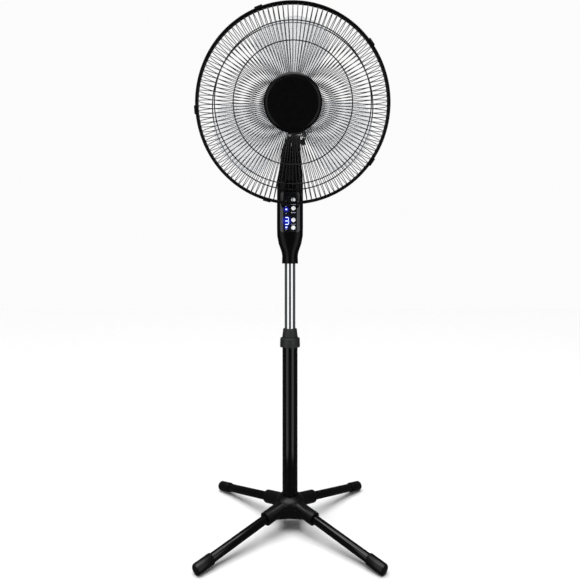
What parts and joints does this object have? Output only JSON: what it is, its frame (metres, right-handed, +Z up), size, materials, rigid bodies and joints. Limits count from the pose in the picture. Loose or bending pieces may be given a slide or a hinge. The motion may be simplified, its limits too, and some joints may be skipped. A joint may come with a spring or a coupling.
{
  "type": "pedestal fan",
  "caption": "Oscillating pedestal fan: wire-guarded three-blade head on a tilting neck with a button panel, telescopic pole and cross base.",
  "frame": {"origin": "on the floor, on the axis of the pole", "axes": "+Z up along the pole, the face of the fan towards -Y, +X to the right seen from the front"},
  "size_m": [0.4245, 0.3946, 1.172],
  "materials": {
    "black_enamel": "gloss",
    "black_abs": "satin",
    "charcoal_nylon": "matte",
    "chrome_tube": "polished",
    "zinc_steel": "satin",
    "lamination_steel": "matte",
    "smoked_acrylic": "gloss",
    "white_abs": "satin",
    "display_blue": "gloss",
    "board_laminate": "satin",
    "frosted_san": "satin",
    "black_rubber": "matte"
  },
  "bodies": {
    "base": {"base_hub": "black_abs", "hub_cover": "black_abs", "base_bolt": "zinc_steel", "pole_insert": "zinc_steel", "lower_pole": "black_enamel", "pole_bush": "charcoal_nylon", "collar_body": "charcoal_nylon", "collet": "charcoal_nylon", "leg_front_right": "black_enamel", "leg_back_right": "black_enamel", "leg_back_left": "black_enamel", "leg_front_left": "black_enamel", "foot_front_right": "black_abs", "foot_back_right": "black_abs", "foot_back_left": "black_abs", "foot_front_left": "black_abs"},
    "collar_nut": {"collar_nut": "charcoal_nylon"},
    "neck": {"upper_pole": "chrome_tube", "pole_end_plug": "charcoal_nylon", "neck_clamp": "black_abs", "neck_front": "black_abs", "neck_rear": "black_abs", "neck_yoke": "black_abs", "panel_lens": "smoked_acrylic", "circuit_board": "board_laminate", "display_module": "display_blue", "cord_inlet": "black_rubber", "tilt_bolt": "zinc_steel"},
    "button_power": {"button_power": "white_abs"},
    "button_swing": {"button_swing": "white_abs"},
    "button_timer": {"button_timer": "white_abs"},
    "button_speed": {"button_speed": "white_abs"},
    "tilt_knob": {"tilt_knob": "black_abs"},
    "bracket": {"tilt_bracket": "black_abs"},
    "head": {"motor_cover": "black_abs", "motor_front_plate": "black_abs", "stator": "lamination_steel", "front_bearing": "zinc_steel", "rear_bearing": "zinc_steel", "rear_bearing_plate": "zinc_steel", "swing_motor": "zinc_steel", "rear_grille": "black_enamel", "grille_nut": "black_abs", "rim_band": "black_abs", "front_grille": "black_enamel", "badge": "black_abs"},
    "crank": {"swing_crank": "zinc_steel"},
    "link": {"swing_link": "zinc_steel"},
    "fan": {"fan_blade": "frosted_san", "spinner_nut": "black_abs", "rotor": "lamination_steel", "motor_shaft": "zinc_steel"},
    "clip_1": {"rim_clip_1": "black_abs"},
    "clip_2": {"rim_clip_2": "black_abs"},
    "clip_3": {"rim_clip_3": "black_abs"},
    "clip_4": {"rim_clip_4": "black_abs"},
    "clip_5": {"rim_clip_5": "black_abs"}
  },
  "joints": [
    {"name": "height_slide", "type": "slide", "parent": "base", "child": "neck", "axis": [0, 0, 1], "range_m": [-0.15, 0.08]},
    {"name": "collar_twist", "type": "hinge", "parent": "base", "child": "collar_nut", "pos_m": [0, 0, 0.46], "axis": [0, 0, 1], "range_deg": [0, 120]},
    {"name": "tilt", "type": "hinge", "parent": "neck", "child": "bracket", "pos_m": [0, 0, 0.915], "axis": [-1, 0, 0], "range_deg": [0, 38]},
    {"name": "knob_turn", "type": "hinge", "parent": "neck", "child": "tilt_knob", "pos_m": [0.03, 0, 0.915], "axis": [1, 0, 0], "range_deg": [0, 360]},
    {"name": "swing", "type": "hinge", "parent": "bracket", "child": "head", "pos_m": [0.0105, 0, 0.915], "axis": [0, -0.1908, 0.9816], "range_deg": [-37.5, 37.5]},
    {"name": "fan_spin", "type": "hinge", "parent": "head", "child": "fan", "pos_m": [0.006, -0.01317, 0.98273], "axis": [0, -0.9816, -0.1908], "continuous": true},
    {"name": "crank_turn", "type": "hinge", "parent": "head", "child": "crank", "pos_m": [0.038, 0.0216, 0.9192], "axis": [0, -0.1908, 0.9816], "range_deg": [-61, 61]},
    {"name": "link_turn", "type": "hinge", "parent": "crank", "child": "link", "pos_m": [0.03555, 0.03166, 0.92115], "axis": [0, -0.1908, 0.9816], "range_deg": [-61, 61]},
    {"name": "press_power", "type": "slide", "parent": "neck", "child": "button_power", "axis": [0, 1, 0], "range_m": [0, 0.001], "stiffness_N_per_m": 300},
    {"name": "press_swing", "type": "slide", "parent": "neck", "child": "button_swing", "axis": [0, 1, 0], "range_m": [0, 0.001], "stiffness_N_per_m": 300},
    {"name": "press_timer", "type": "slide", "parent": "neck", "child": "button_timer", "axis": [0, 1, 0], "range_m": [0, 0.001], "stiffness_N_per_m": 300},
    {"name": "press_speed", "type": "slide", "parent": "neck", "child": "button_speed", "axis": [0, 1, 0], "range_m": [0, 0.001], "stiffness_N_per_m": 300},
    {"name": "clip_open_1", "type": "hinge", "parent": "head", "child": "clip_1", "pos_m": [0.1733, -0.12252, 1.09463], "axis": [-0.6157, -0.1504, 0.7735], "range_deg": [0, 75]},
    {"name": "clip_open_2", "type": "hinge", "parent": "head", "child": "clip_2", "pos_m": [-0.06661, -0.13565, 1.16215], "axis": [-0.9397, 0.0653, -0.3357], "range_deg": [0, 75]},
    {"name": "clip_open_3", "type": "hinge", "parent": "head", "child": "clip_3", "pos_m": [-0.20617, -0.09617, 0.95905], "axis": [0.0349, 0.1907, -0.981], "range_deg": [0, 75]},
    {"name": "clip_open_4", "type": "hinge", "parent": "head", "child": "clip_4", "pos_m": [-0.05252, -0.05865, 0.766], "axis": [0.9613, 0.0526, -0.2706], "range_deg": [0, 75]},
    {"name": "clip_open_5", "type": "hinge", "parent": "head", "child": "clip_5", "pos_m": [0.18201, -0.07493, 0.84979], "axis": [0.5592, -0.1582, 0.8138], "range_deg": [0, 75]}
  ],
  "couplings": [
    {"joint": "crank_turn", "follows": "swing", "ratio": -1.6},
    {"joint": "link_turn", "follows": "swing", "ratio": 1.6}
  ]
}
